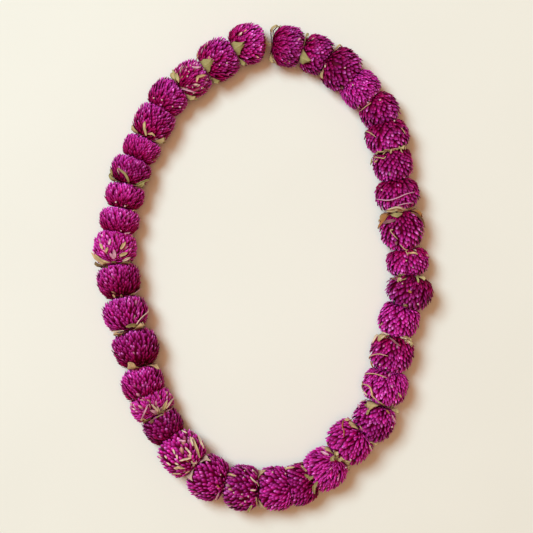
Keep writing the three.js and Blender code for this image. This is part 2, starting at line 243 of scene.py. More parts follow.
LEAF_RAGGED = 0.09
LEAF_WAVE = 0.6
LEAF_CURL = 0.7
LEAF_FOLD = 1.1
MIDRIB_DEPTH = 0.22
MIDRIB_WIDTH = 0.12
VEIN_HEIGHT = 0.09
PAINTED_SHADE_RAMP = [0.72, 0.84]  # where the painted shade of the heads that hide a leaf fades out
PAINTED_SHADE_DEPTH = 0.85

# Heads whose apex or base looks darker or brighter, and the share of bracts that have faded
DULL_APEXES = {1, 2, 3, 5, 11, 15, 18, 20, 23}
BRIGHT_APEXES = {12, 14, 17, 24, 25, 28, 29, 30, 31, 33, 38}
DARK_BASES = {3, 6, 7, 8, 9, 11, 23, 26, 28, 32}
BRIGHT_BASES = {4, 12, 14, 15, 16, 17, 19, 20, 21, 22, 24, 27, 29}
DARK_SHARE = 0.72
BRIGHT_SHARE = 1.2
FRESH_SHARE = 0.8  # how much the base of a bright head has of the apex's colours
FADED_HEADS = {20: 0.06, 22: 0.14, 24: 0.18, 29: 0.08, 36: 0.22}
FADED_ELSEWHERE = 0.012
FADING = [0.35, 0.8]
PAPERY_GLINT_SHARE = 0.25  # of the bracts at the apex, those with a pale papery tip lightened further as a painted glint
MIDDLE_RAMP = [0, 0.6]  # where along a bract one colour turns into the next
TIP_RAMP = [0.5, 0.92]
PAPERY_GLINT_RAMP = [0.55, 0.85]
FADED_RAMP = [0, 2 / 3]
VIVID_FROM = 0.2  # how far from the base the apex's colours begin
VIVID_RATE = 1.45
VIVID_SPREAD = 0.12
LIGHT_SPREAD = 0.2

# Thread
THREAD_RADIUS = 0.4
KNOT_SHARE = 0.45
KNOT_RADIUS = 1.0
TAIL_ENDS = [[-0.5, 4.6, 1.2], [0.3, -4.8, 0.6]]
TAIL_BEND = [0.35, 0, 0.25]
PLY_RADIUS = 0.24
PLY_PITCH = 2.4  # the length of one turn
STEPS_A_TURN = 5

# Small things on the heads
LIFT = 0.25  # of a strip or fibre over the tips
CROWN_LIFT = 1.2
BLADE_LIFT = 0.2
STAR_LIFT = 0.45
SCAR_LIFT = 0.3
STAR_SCAR_LIFT = 0.5
UPTURN = 0.4  # how much more than the heads under it a strip faces up
CROWN_UPTURN = 2.5
BRIDGE_ROUNDS = 40
BRIDGE_SAG = 0.03
STRIP_THICKNESS = 0.28
STRIP_OUTLINE = [[0, 0.2, 0.5, 0.8, 1], [0.25, 0.85, 1, 0.8, 0.15]]  # shares of length and of width
BLADE_OUTLINE = [[0, 0.3, 0.6, 0.85, 1], [0.45, 0.9, 1, 0.6, 0.1]]
FIBRE_OUTLINE = [[0, 0.15, 0.8, 1], [0.6, 1, 0.9, 0.4]]
SCAR_HEIGHT = 0.7
PITH_AT = 0.55
PITH_SHARE = 0.35
PITH_HEIGHT = 0.3
PITH_BROWN = BROWN * 0.4
FLORET_LIFT = 0.05
FLORET_RADIUS = [0.42, 0.62]
FLORET_HEIGHT = 1.3  # in radii
FLORET_LEAN = 0.2

# Dry strips and curled rims seen on the heads: tone, width in mm, then pixels of the photograph
SEEN_STRIPS = [
    # Heads 1 to 3
    [OLIVE, 1.4, (281.4, 26.2), (276.3, 28.8), (274.2, 32.9), (274.2, 36.9)],
    [STRAW, 0.9, (272.2, 48.2), (270.7, 53.3), (273.7, 58.4), (277.8, 64.5)],
    [TAN, 1, (306.4, 37.4), (304.9, 42), (302.3, 46.6)],
    [OLIVE, 1.2, (322.2, 69.6), (320.7, 73.7), (321.2, 76.2)],
    [CREAM, 1, (325.3, 64), (325.8, 67.6)],
    # Heads 7 to 11
    [STRAW, 1.9, (375.3, 153.8), (381.4, 152.8), (385.5, 149.7), (390.1, 150.2), (395.7, 148.2),
     (402.3, 152.8)],
    [STRAW, 1.1, (384.5, 151), (383.5, 155.3)],
    [STRAW, 1.1, (391, 150), (390.6, 154.3)],
    [OLIVE, 1.3, (372.2, 158.4), (371.7, 165)],
    [TAN, 1, (374.8, 162.4), (377.9, 160.4)],
    [ORANGE, 1.9, (392.7, 211.2), (388.6, 214.8), (384.5, 219.4), (380.4, 225), (378.4, 229.1)],
    [DUSK, 2.2, (383, 223), (389, 221.5), (395.7, 220.4)],
    [BROWN, 1.6, (411, 212.8), (417.7, 215.8), (421.7, 220.4), (423.8, 227.6)],
    [TAN, 1.2, (407.5, 253.6), (413.6, 253), (417.1, 254.6)],
    [OLIVE, 1.9, (392, 279), (397.8, 276), (400.8, 274), (404.9, 273.5)],
    [GREEN, 1.4, (416.1, 274.5), (417.7, 279.6), (418, 283)],
    [ORANGE, 1.5, (408.4, 290.6), (411.2, 292.4)],
    # Heads 13 and 14
    [DUSK, 1, (390, 338.1), (399.4, 346)],
    [ORANGE, 1.5, (371, 361), (374, 368)],
    [GREEN, 2.4, (361.7, 380.9), (361, 386), (362, 391)],
    [TAN, 1, (363, 384), (369, 386), (372, 392), (373, 396), (382, 403)],
    [CREAM, 1.1, (363, 391), (368, 395)],
    [TAN, 1.1, (398, 393), (401, 397)],
    # Heads 15 and 16
    [STRAW, 2, (371, 406.6), (377.7, 403)],
    [OLIVE, 1.8, (369, 409.7), (366.9, 414.8)],
    [OLIVE, 1.8, (365, 405), (370, 406.5)],
    [ROSE, 1.1, (357.8, 404.6), (360.3, 407.7)],
    [CREAM, 1, (360.8, 401.5), (366.4, 401)],
    [STRAW, 1, (377.1, 400.5), (381.7, 403), (385.8, 406.1)],
    [ORANGE, 1.2, (386.3, 410.2), (388.9, 413.8)],
    [OLIVE, 1.2, (388.4, 405.6), (390.4, 407.7)],
    [ROSE, 1.3, (391.4, 415.3), (395.5, 423)],
    [CREAM, 1.1, (350.6, 413.8), (352.7, 416.8)],
    [TAN, 2.4, (344.5, 420.5), (351.6, 419.4)],
    [TAN, 1.6, (349, 424), (352, 421)],
    [ORANGE, 1, (326.5, 443), (329, 444)],
    [CREAM, 1, (369, 444.9), (371.5, 450.5)],
    # Heads 17 to 19
    [STRAW, 2, (341.8, 457.3), (347.4, 464.5), (350, 470.6)],
    [STRAW, 2.2, (301, 466), (307.7, 470.6)],
    [OLIVE, 2.4, (304.6, 474.7), (309, 477.5), (313.8, 476.5)],
    [OLIVE, 2.4, (317.9, 481.3), (313.5, 487), (313.8, 493.6)],
    [BROWN, 1.2, (301, 463.2), (303, 461.8)],
    [STRAW, 1.6, (283.9, 467.8), (294.6, 467.8)],
    # Heads 20 and 21
    [TAN, 1.2, (228.8, 473.9), (236.4, 476.4)],
    [CREAM, 0.9, (250.2, 476.9), (254.3, 481.5), (260.4, 484.1)],
    [CREAM, 1.1, (250.2, 490), (254.8, 490)],
    [STRAW, 1, (255.8, 497.3), (256.3, 505.5)],
    [STRAW, 1, (259.9, 493.8), (259.4, 500.9)],
    [GREEN, 1.9, (251.7, 505), (247.7, 511.1)],
    [OLIVE, 1.2, (258.9, 469.8), (261.4, 472.9)],
    [ROSE, 1.1, (218.6, 492.8), (215, 499.9)],
    [ORANGE, 0.9, (216.8, 485), (218.6, 487.3)],
    # Heads 22 to 24
    [CREAM, 1.2, (182, 431), (186.7, 433.7)],
    [ROSE, 1.2, (178.6, 440.5), (185.7, 441.5)],
    [CREAM, 1.1, (185.2, 447.4), (190.8, 454)],
    [CREAM, 1.2, (173, 449), (175, 454)],
    [CREAM, 1.1, (176.5, 454.6), (177.6, 458.7)],
    [CREAM, 1.1, (164.8, 455.6), (167.3, 458.2)],
    [CREAM, 1.1, (166.8, 462.2), (170.9, 464.8)],
    [CREAM, 1.2, (179.6, 460.7), (190.8, 457.7)],
    [CREAM, 1, (175, 462.8), (178.6, 464.3)],
    [TAN, 1.2, (174.5, 467.3), (184.7, 467.9)],
    [STRAW, 1.2, (185.2, 473), (193.4, 468.4), (196.4, 465.3)],
    [STRAW, 0.9, (172.4, 473.5), (180.6, 473)],
    [BROWN, 2, (150.5, 423), (153.6, 420)],
    [TAN, 1.2, (140.8, 420.4), (142.3, 418.9), (150, 419.9), (147.4, 421.9)],
    [ROSE, 0.9, (148, 404.6), (145.4, 410.2), (141.8, 418.4)],
    # Heads 26 to 29
    [TAN, 2.8, (128, 363), (132, 364), (135.5, 366)],
    [BROWN, 2.6, (124, 330), (131, 328.5), (139, 328), (148, 327)],
    [OLIVE, 2.4, (126, 326.5), (133, 325), (141, 325.5)],
    [TAN, 2, (139, 327), (144, 325.5), (148, 324)],
    [CREAM, 0.8, (112, 331), (118, 330.5), (124, 329.5)],
    [TAN, 1.8, (115, 332.5), (122, 335.5)],
    [TAN, 1.3, (113, 294.4), (115, 296.4)],
    [TAN, 1.3, (121, 294.5), (122, 297)],
    [OLIVE, 1.3, (128.8, 295.9), (134.4, 292.3)],
    [ROSE, 0.8, (133.9, 293.4), (140.5, 288.3)],
    [TAN, 3.4, (111, 264.5), (105, 263), (98, 259), (92.5, 252.5)],
    [BROWN, 2.2, (108, 268), (104, 267.5), (100, 265.5)],
    [STRAW, 1.2, (110, 262), (103, 260), (96, 254)],
    # Heads 30 to 35
    [ROSE, 1.2, (125.2, 234.7), (129.8, 231.6)],
    [TAN, 1, (132.5, 211.5), (137, 209.5)],
    [OLIVE, 1.6, (118, 168), (126, 175), (130, 186)],
    [OLIVE, 1.9, (111, 169), (113, 177)],
    [CREAM, 1, (114, 178), (116, 183)],
    [GREEN, 2, (134, 186), (142, 182), (149, 179)],
    [STRAW, 1.8, (145, 121.5), (144.5, 127), (147, 137)],
    [TAN, 1.3, (148, 134), (152, 133.5), (155, 136)],
    [OLIVE, 1.9, (154, 141), (160, 143), (166, 142.5)],
    # Heads 36 to 38
    [GREEN, 2.4, (186.9, 94.8), (192, 97.5), (197.7, 98.9)],
    [ROSE, 1.6, (192, 67), (196.5, 67.8), (200.7, 67.5)],
    [TAN, 1.7, (196.6, 82), (197.7, 77.4), (201.7, 75.9), (205.3, 75.4)],
    [ROSE, 1, (180.8, 87.7), (188, 90.2), (195.6, 92.2)],
    [TAN, 0.9, (198, 52.7), (196.5, 62.3)],
    [BROWN, 1.3, (264.6, 39.4), (266.2, 41.4)],
]

# Stiff crowns of dry leaves that stand up between two heads, on heads 9 and 13
SEEN_CROWN = [
    [OLIVE, 3, (390, 213.5), (396, 215.5), (402, 214)],
    [STRAW, 3.2, (386.5, 210.6), (392.1, 209.6), (396.7, 208.3), (403.9, 210.7), (408.5, 211.4)],
    [STRAW, 2, (405, 211), (412, 210.2), (418.5, 211.8)],
    [CREAM, 1.3, (388, 209), (396.7, 206.8), (404, 208.6), (411, 209.3)],
    [CREAM, 1.6, (389.3, 333.8), (382, 333.3), (376.2, 336.7), (373, 343.2)],
    [CREAM, 1.2, (390, 334.5), (385, 336), (382, 338.8)],
    [CREAM, 1.5, (400.1, 336), (405.2, 339.6), (409.6, 343.2)],
    [STRAW, 1.2, (403, 335.2), (408.8, 338.1), (412.5, 343.9)],
]

# The stiff star of dry leaves on head 17, which stands over the groove beside it
STAR_CENTRE = (334.7, 455.3)
SEEN_STAR = [
    [OLIVE, 3.2, STAR_CENTRE, (330.6, 449.2)],
    [STRAW, 3, STAR_CENTRE, (338.3, 451.2)],
    [OLIVE, 3.2, STAR_CENTRE, (330.1, 461.4)],
    [STRAW, 3, STAR_CENTRE, (341.3, 459.4)],
]

# Faded blades that spring from one place, the root first: tone, width in mm, then pixels
SEEN_BLADES = [
    # Head 17
    [ROSE, 1.8, (330.1, 451.2), (320.9, 447.1)],
    [ROSE, 1.8, (328.6, 455.3), (320.9, 451.7)],
    # Head 22
    [STRAW, 1.7, (199.5, 457.7), (192.9, 438.8)],
    [CREAM, 1.4, (192.9, 445.9), (189.8, 437.2)],
    [CREAM, 1.6, (203.6, 448.5), (197.4, 435.7)],
    [CREAM, 1.2, (193.5, 463.8), (191, 461)],
    [CREAM, 1.2, (193.5, 463.8), (196.5, 461.5)],
    [CREAM, 1.2, (193.5, 463.8), (193.8, 467.5)],
    # The calyx on head 24
    [CREAM, 1.4, (160.7, 414.3), (151.5, 404)],
    [ROSE, 2.3, (160.7, 414.3), (150, 409.7)],
    [CREAM, 1.4, (160.7, 414.3), (157, 406)],
    [STRAW, 2.2, (160.7, 414.3), (167, 400)],
    [CREAM, 1.4, (162, 413), (173, 398)],
    [ROSE, 1.4, (162, 414), (172, 409)],
    # The star on head 29
    [ROSE, 2, (114.5, 258.7), (109.9, 253.1)],
    [ROSE, 2.2, (115, 257.7), (114, 249.5)],
    [STRAW, 2.3, (119.6, 255.6), (127.2, 252.6)],
    [CREAM, 1.8, (122.7, 260.7), (129.8, 257.1)],
    [TAN, 2, (120.6, 249), (125.2, 242.3)],
    [STRAW, 1.9, (102.8, 249), (100.2, 243.4)],
    [STRAW, 1.7, (105.8, 252), (107.9, 247.4)],
    [ROSE, 1.7, (108.9, 244.9), (110.4, 239.3)],
    # Head 36
    [GREEN, 3, (179.3, 86.6), (173.2, 70.3)],
    [STRAW, 2.2, (179.3, 86.6), (177.5, 73.5)],
]

# The scars where a stem was nipped off, in the middle of a star: radius in mm, then its pixel
SEEN_SCARS = [
    [1.7, STAR_CENTRE], [1.5, (405.5, 305.2)], [1.6, (368.5, 406.1)],
    [1.9, (114, 261.7)], [1.3, (160.7, 414.3)],
]

# Loose fibres: tone, radius in mm, then pixels
SEEN_FIBRES = [
    [STRAW, 0.3, (263.9, 38.9), (268, 43), (271.5, 46)],
    [TAN, 0.3, (238.9, 59.8), (242.4, 64.4)],
    [TAN, 0.32, (208.8, 76.6), (213.9, 80.2), (219.5, 84.3)],
    [STRAW, 0.3, (371, 103), (365.5, 107), (360, 111.5)],
    [TAN, 0.32, (365, 131), (370.5, 133), (376, 137)],
    [TAN, 0.32, (401, 128), (403.5, 131), (405, 134)],
    [TAN, 0.35, (374.3, 157.3), (380.4, 157.9), (384, 158.4), (386, 156.3)],
    [ROSE, 0.38, (376.8, 199.2), (388.6, 200.2), (397.8, 197.7), (405.9, 194.1), (414.6, 192)],
    [ROSE, 0.32, (397.8, 205.3), (405.9, 203.3), (413.6, 202.8)],
    [BROWN, 0.4, (379.9, 208.9), (382.4, 210.9)],
    [STRAW, 0.32, (385.5, 215.8), (378.9, 219.4), (378.4, 221.9)],
    [STRAW, 0.3, (407.5, 211.2), (412, 210.5), (417.7, 211.4)],
    [STRAW, 0.35, (393.2, 229.6), (390.6, 231.1), (397.8, 239.3)],
    [STRAW, 0.35, (399.8, 243.9), (405.9, 251.5), (408, 255.6)],
    [TAN, 0.35, (366, 360), (368, 357), (378, 354), (388, 356)],
    [TAN, 0.35, (364, 374), (375, 374), (387, 378)],
    [ORANGE, 0.42, (343.5, 419.9), (342.4, 426.5), (344, 431.6), (343.5, 437.2)],
    [TAN, 0.35, (359.3, 424.5), (362.9, 430.6), (362.3, 434.7)],
    [OLIVE, 0.42, (153.6, 419.4), (159, 416.5), (164.3, 414.3)],
    [CREAM, 0.35, (134, 328), (141, 318), (153, 308)],
]

# Cream tips of the small flowers among the bracts: pixels
SEEN_FLORETS = [
    (345, 68), (350, 80), (353, 85), (375, 94), (368, 103), (380, 100), (394.5, 121),
    (381.9, 190), (379.6, 222.4), (406.4, 260.7), (413, 267.3), (401, 279), (402.5, 283.5),
    (418, 304), (382, 338), (384, 346), (380, 364.5), (386, 368), (391.9, 427), (364.9, 435.7),
    (350.6, 459.7), (345.7, 467.6), (285.5, 473.8), (272.7, 472.3), (252.8, 470.8),
    (244.6, 470.8), (243.6, 477.4), (233.9, 492.8), (242, 494.3), (248.2, 496.3), (245.1, 501.4),
    (225.2, 482.6), (224.2, 488.7), (220.6, 474.9), (121.1, 230.6), (116, 202), (125, 206),
    (154, 98), (162, 100), (179.8, 107), (172.7, 106.5), (190.5, 65.7), (186.9, 67.2),
    (189, 71.8), (187.4, 76.4), (192.6, 87.1), (201.7, 88.2), (193.6, 92.8), (219.5, 64.9),
    (227.1, 62.9),
]

# The surface under the lei, and the light: direction, distance and size in m, power in W, colour
FLOOR_HALF_SIDE = 3.0
PAPER_GRAIN = 60
PAPER_SHADES = [[0.88, 0.825, 0.735, 1], [0.92, 0.865, 0.775, 1]]
ROOM_COLOUR = [0.225, 0.155, 0.1, 1]
LIGHTS = {
    "window": [[-0.4, 0.34, 0.85], 3.2, 1.25, 99, [0.63, 0.88, 1.0]],
    "ceiling": [[0, 0, 1], 3.0, 1.6, 28, [0.92, 0.52, 0.26]],
}

# Materials: roughness, specular level, spread of the lightness, scale of the noise, depth of bumps
MATERIALS = {
    "papery_bracts": [0.45, 0.03, 0.12, 900, 0.0001],
    "dry_leaf": [0.7, 0.3, 0.2, 500, 0.0003],
    "faded_blade": [0.5, 0.4, 0.12, 700, 0.0002],
    "floret_tip": [0.6, 0.3, 0.1, 1500, 0.0001],
    "cotton_thread": [0.9, 0.1, 0.12, 2500, 0.0001],
}
NOISE_DETAIL = 3
BUMP_STRENGTH = 0.4


def mixed(start, end, share):
    return start + (end - start) * share


def ramp(values, start, end):
    """How far the values have come from the start to the end, as a share from 0 to 1."""
    return np.clip((values - start) / (end - start), 0, 1)


def unit(vectors):
    return vectors / np.maximum(np.linalg.norm(vectors, axis=-1, keepdims=True), 1e-9)


def turned(vector, axis, angle):
    """The vector turned about an axis of length one."""
    across = np.cross(axis, vector)
    kept = axis * np.dot(axis, vector) * (1 - math.cos(angle))
    return vector * math.cos(angle) + across * math.sin(angle) + kept


def around_axis(axis, angles, up=UP):
    """Directions square to an axis, at the angles round it."""
    side = unit(np.cross(axis, up))
    return side * np.cos(angles) + np.cross(axis, side) * np.sin(angles)


def turn_to(axis, up=UP):
    """The three directions of a frame whose z lies along the axis."""
    side = unit(np.cross(axis, up))
    return np.stack([side, np.cross(axis, side), axis])


def smooth_route(points, steps):
    """A smooth line through the points, with so many steps between each two."""
    points = np.asarray(points, float)
    padded = np.concatenate([points[:1] * 2 - points[1:2], points, points[-1:] * 2 - points[-2:-1]])
    share = (np.arange(steps) / steps)[:, None]
    parts = []
    for before, start, end, after in zip(padded, padded[1:], padded[2:], padded[3:]):
        bend = (before * 2 - start * 5 + end * 4 - after) * share**2
        twist = (start * 3 - before - end * 3 + after) * share**3
        parts.append(start + ((end - before) * share + bend + twist) / 2)
    return np.concatenate([*parts, points[-1:]])


# Places of the heads, as in the part's source


def turn_of(index):
    return np.radians(TURNED.get(index + 1, [0, 0]))


def head_centre(index):
    x, y, across, length = HEADS[index]
    raised, _ = turn_of(index)
    power = SHOULDER / (SHOULDER - 1)
    side = (across / 2 * math.cos(raised)) ** power
    end = (length / 2 * math.sin(raised)) ** power
    return np.array([x, y, (side + end) ** (1 / power) - FLOOR_FLAT]) + CENTRING


def head_axis(index):
    ahead = head_centre((index + 1) % len(HEADS)) - head_centre(index - 1)
    axis = unit(ahead * [1, 1, 0])
    raised, swung = turn_of(index)
    axis = turned(axis, np.cross(UP, axis), raised)
    return turned(axis, UP, -swung)


def meeting_of(before, after):
    """Where two heads meet: the place, the strand's direction there and the radius of contact."""
    start, end = head_centre(before), head_centre(after)
    share = HEADS[before][3] / (HEADS[before][3] + HEADS[after][3])
    radius = min(HEADS[before][2], HEADS[after][2]) / 2
    return mixed(start, end, share), unit(end - start), radius


def all_meetings():
    meetings = [meeting_of(index, index + 1) for index in range(len(HEADS) - 1)]
    last = len(HEADS) - 1
    _, along, radius = meeting_of(last, 0)
    start = head_centre(0) - along * HEADS[0][3] / 2 * FIRST_BASE_AT
    end = head_centre(last) + along * HEADS[last][3] / 2 * LAST_APEX_AT
    return [(start, along, radius), *meetings, (end, along, radius)]


MEETINGS = all_meetings()


def nest_at(distance, radius):
    return NEST_DEPTH * (1 - np.minimum(1, (distance / radius) ** 2))


def hole_place(meeting):
    place, along, _ = meeting
    return place + along * NEST_DEPTH


def pressed(points, meeting, side, gap):
    """Keeps points on their own side of a meeting place, with a soft dent."""
    place, along, radius = meeting
    offset = points - place
    reach = offset @ along
    distance = np.linalg.norm(offset - reach[..., None] * along, axis=-1)
    inside = side * (nest_at(distance, radius) - reach) - gap
    kept = (inside + np.hypot(inside, PRESS_SOFTNESS)) / 2
    return points + along * (side * (inside - kept))[..., None]


def gap_at(number):
    return LEAFY_GAP if number in LEAFY_BRACTS else PAIR_GAP


def settled(points, index, overlap):
    """A head's points pressed against its neighbours and the surface that it lies on."""
    points = pressed(points, MEETINGS[index], -1, gap_at(index + 1) - overlap)
    points = pressed(points, MEETINGS[index + 1], 1, gap_at(index + 2) - overlap)
    height = points[..., 2]
    flat = (height + np.hypot(height, FLOOR_SOFTNESS)) / 2
    return np.concatenate([points[..., :2], flat[..., None]], axis=-1)


# Materials


def material_with(name, roughness, specular):
    """A new material, its shader, its nodes and its links."""
    material = bpy.data.materials.new(name)
    material.use_nodes = True
    tree = material.node_tree
    shader = tree.nodes["Principled BSDF"]
    shader.inputs["Roughness"].default_value = roughness
    shader.inputs["Specular IOR Level"].default_value = specular
    return material, shader, tree.nodes, tree.links


def tinted_material(name, roughness, specular, spread, scale, bump):
    """A material that takes its colour from the mesh and varies it with fine noise."""
    material, shader, nodes, links = material_with(name, roughness, specular)
    tint = nodes.new("ShaderNodeAttribute")
    tint.attribute_name = "tint"
    noise = nodes.new("ShaderNodeTexNoise")
    noise.inputs["Scale"].default_value = scale
    noise.inputs["Detail"].default_value = NOISE_DETAIL
    place = nodes.new("ShaderNodeTexCoord")
    links.new(place.outputs["Object"], noise.inputs["Vector"])
    light = nodes.new("ShaderNodeMapRange")
    light.inputs["To Min"].default_value = 1 - spread
    light.inputs["To Max"].default_value = 1 + spread
    links.new(noise.outputs["Fac"], light.inputs["Value"])
    varied = nodes.new("ShaderNodeVectorMath")
    varied.operation = "SCALE"
    links.new(tint.outputs["Color"], varied.inputs[0])
    links.new(light.outputs["Result"], varied.inputs["Scale"])
    links.new(varied.outputs["Vector"], shader.inputs["Base Color"])
    relief = nodes.new("ShaderNodeBump")
    relief.inputs["Strength"].default_value = BUMP_STRENGTH
    relief.inputs["Distance"].default_value = bump
    links.new(noise.outputs["Fac"], relief.inputs["Height"])
    links.new(relief.outputs["Normal"], shader.inputs["Normal"])
    return material


def paper_material():
    material, shader, nodes, links = material_with("pale_surface", roughness=0.9, specular=0.1)
    noise = nodes.new("ShaderNodeTexNoise")
    noise.inputs["Scale"].default_value = PAPER_GRAIN
    ramp = nodes.new("ShaderNodeValToRGB")
    for element, shade in zip(ramp.color_ramp.elements, PAPER_SHADES):
        element.color = shade
    links.new(noise.outputs["Fac"], ramp.inputs["Fac"])
    links.new(ramp.outputs["Color"], shader.inputs["Base Color"])
    return material


# Meshes


def add_object(name, data):
    thing = bpy.data.objects.new(name, data)
    bpy.context.scene.collection.objects.link(thing)
    return thing


class Soup:
    """Points, triangles and colours of one piece, gathered part by part."""

    def __init__(self):
        self.points, self.faces, self.tints, self.count = [], [], [], 0

    def add(self, points, faces, tints):
        points = points.reshape(-1, 3)
        self.points.append(points)
        self.faces.append(faces + self.count)
        self.tints.append(np.broadcast_to(tints, points.shape))
        self.count += len(points)

    def piece(self, name, material, slot, replaces=None):
        """A mesh piece that rides on the part, with a colour for each point."""
        mesh = bpy.data.meshes.new(name)
        points, faces = np.concatenate(self.points) * MM, np.concatenate(self.faces)
        mesh.from_pydata(points.tolist(), [], faces.tolist())
        colours = mesh.color_attributes.new("tint", "FLOAT_COLOR", "POINT")
        colours.data.foreach_set("color", np.c_[np.concatenate(self.tints), np.ones(self.count)].ravel())
        mesh.materials.append(material)
        mesh.shade_smooth()
        mesh.set_sharp_from_angle(angle=KEEL_SHARPNESS)
        piece = add_object(name, mesh)
        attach(piece, "root")
        if replaces:
            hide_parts(replaces)


def grid_faces(number):
    """Two triangles for each cell of a grid of point numbers."""
    a, b = number[:-1, :-1].ravel(), number[1:, :-1].ravel()
    c, d = number[1:, 1:].ravel(), number[:-1, 1:].ravel()
    return np.concatenate([np.c_[a, b, c], np.c_[a, c, d]])


def ring_faces(first, rings, sides):
    """Triangles between closed rings of points, of which the first point has the number given."""
    number = first + np.arange(rings * sides).reshape(rings, sides)
    return grid_faces(np.c_[number, number[:, 0]])


def tube(soup, route, radii, sides, tint):
    """A closed round tube along a route, with a radius at each of its points."""
    ahead = unit(np.gradient(route, axis=0))
    angles = np.arange(sides) / sides * 2 * math.pi
    ring = around_axis(ahead[:, None], angles[:, None], NEARLY_UP)
    points = route[:, None] + ring * np.broadcast_to(radii, len(route))[:, None, None]
    last = (len(route) - 1) * sides
    cap = np.array([[0, corner + 1, corner] for corner in range(1, sides - 1)])
    wall = ring_faces(0, len(route), sides)[:, ::-1]
    soup.add(points, np.concatenate([wall, cap, cap[:, ::-1] + last]), tint)


def thin_solid(soup, grid, thickness, tints):
    """A closed thin body on both sides of a grid of points."""
    rows, columns = grid.shape[:2]
    half = unit(np.cross(np.gradient(grid, axis=0), np.gradient(grid, axis=1))) * thickness / 2
    under = rows * columns
    number = np.arange(under).reshape(rows, columns)
    upper = grid_faces(number)
    lower = upper[:, ::-1] + under
    rim = np.concatenate([number[0, :-1], number[:-1, -1], number[-1, :0:-1], number[:0:-1, 0]])
    after = np.roll(rim, -1)
    sides = np.concatenate([np.c_[rim, after, after + under], np.c_[rim, after + under, rim + under]])
    both_tints = np.tile(tints.reshape(-1, 3), (2, 1))
    soup.add(np.stack([grid + half, grid - half]), np.concatenate([upper, lower, sides]), both_tints)


def ball_mesh(rows, columns):
    """Directions over a ball in rows from the base to the apex, and the triangles between them."""
    polar = (np.arange(1, rows) / rows * math.pi)[:, None]
    angle = np.arange(columns) / columns * 2 * math.pi
    height = -np.cos(polar) * np.ones(columns)
    rings = np.stack([np.sin(polar) * np.cos(angle), np.sin(polar) * np.sin(angle), height], axis=-1)
    directions = np.concatenate([[-UP], rings.reshape(-1, 3), [UP]])
    top = len(directions) - 1
    last = top - columns
    base = [[0, 1 + (corner + 1) % columns, 1 + corner] for corner in range(columns)]
    apex = [[last + corner, last + (corner + 1) % columns, top] for corner in range(columns)]
    return directions, np.concatenate([base, ring_faces(1, rows - 1, columns)[:, ::-1], apex])


# Flower heads


def head_surface(directions, index, inset):
    """Points of a head's outline in its own frame, z towards the apex, less the inset."""
    across, half = HEADS[index][2] / 2, HEADS[index][3] / 2
    z = directions[..., 2:]
    ring = np.linalg.norm(directions[..., :2], axis=-1, keepdims=True)
    reach = (ring**SHOULDER + np.abs(z) ** SHOULDER) ** (-1 / SHOULDER)
    length = np.where(z < 0, half * BASE_LENGTH, half * APEX_LENGTH) - inset
    moved = WIDEST.get(index + 1, 0) * half * ring**2
    outward = directions[..., :2] * reach * (across - inset)
    return np.concatenate([outward, z * reach * length + moved], axis=-1)


def head_normals(directions, index):
    across, half = HEADS[index][2] / 2, HEADS[index][3] / 2
    z = directions[..., 2:]
    ring = np.linalg.norm(directions[..., :2], axis=-1, keepdims=True)
    outward = directions[..., :2] * ring ** (SHOULDER - 2) / across
    ahead = np.sign(z) * np.abs(z) ** (SHOULDER - 1) / half
    return unit(np.concatenate([outward, ahead], axis=-1))


def placed(points, index, overlap=0.0):
    """Points of a head's own frame in the lei's frame, pressed into place."""
    return settled(points @ turn_to(head_axis(index)) + head_centre(index), index, overlap)


def spiral_directions(count, random):
    """Evenly spread directions in spiral rows, from the base to the apex."""
    steps = np.arange(count)
    height = -1 + (2 * steps + 1) / count + random.uniform(-0.5, 0.5, count) / count
    ring = np.sqrt(np.maximum(0, 1 - height * height))
    golden = math.pi * (3 - math.sqrt(5))
    angle = random.uniform(0, 2 * math.pi) + golden * steps + random.normal(0, 0.05, count)
    return np.stack([ring * np.cos(angle), ring * np.sin(angle), height], axis=-1)


def with_twins(directions, random):
    """Splits some of the directions into pairs that open towards their tips, and gives each a sway."""
    twin = random.random(len(directions)) < TWIN_SHARE
    around = unit(np.cross(UP, directions) + 1e-6) * TWIN_SPREAD
    first = unit(directions + around * twin[:, None])
    second = unit(directions[twin] - around[twin])
    sway = random.normal(0, SWAY_SPREAD, len(directions)) + TWIN_SWAY * twin
    twin_sway = random.normal(0, SWAY_SPREAD, len(second)) - TWIN_SWAY
    return np.concatenate([first, second]), np.concatenate([sway, twin_sway])


def bract_faces(count):
    """Triangles of all the bracts of a head: rings of points closed at the root and at the tip."""
    rings, sides = len(BRACT_STATIONS), len(BRACT_SECTION)
    tip = rings * sides
    last = tip - sides
    tip_cap = [[last + side, tip, last + (side + 1) % sides] for side in range(sides)]
    root_cap = [[sides - 1, side, side + 1] for side in range(sides - 2)]
    one = np.concatenate([ring_faces(0, rings, sides), tip_cap, root_cap])
    return (one + np.arange(count)[:, None, None] * (tip + 1)).reshape(-1, 3)


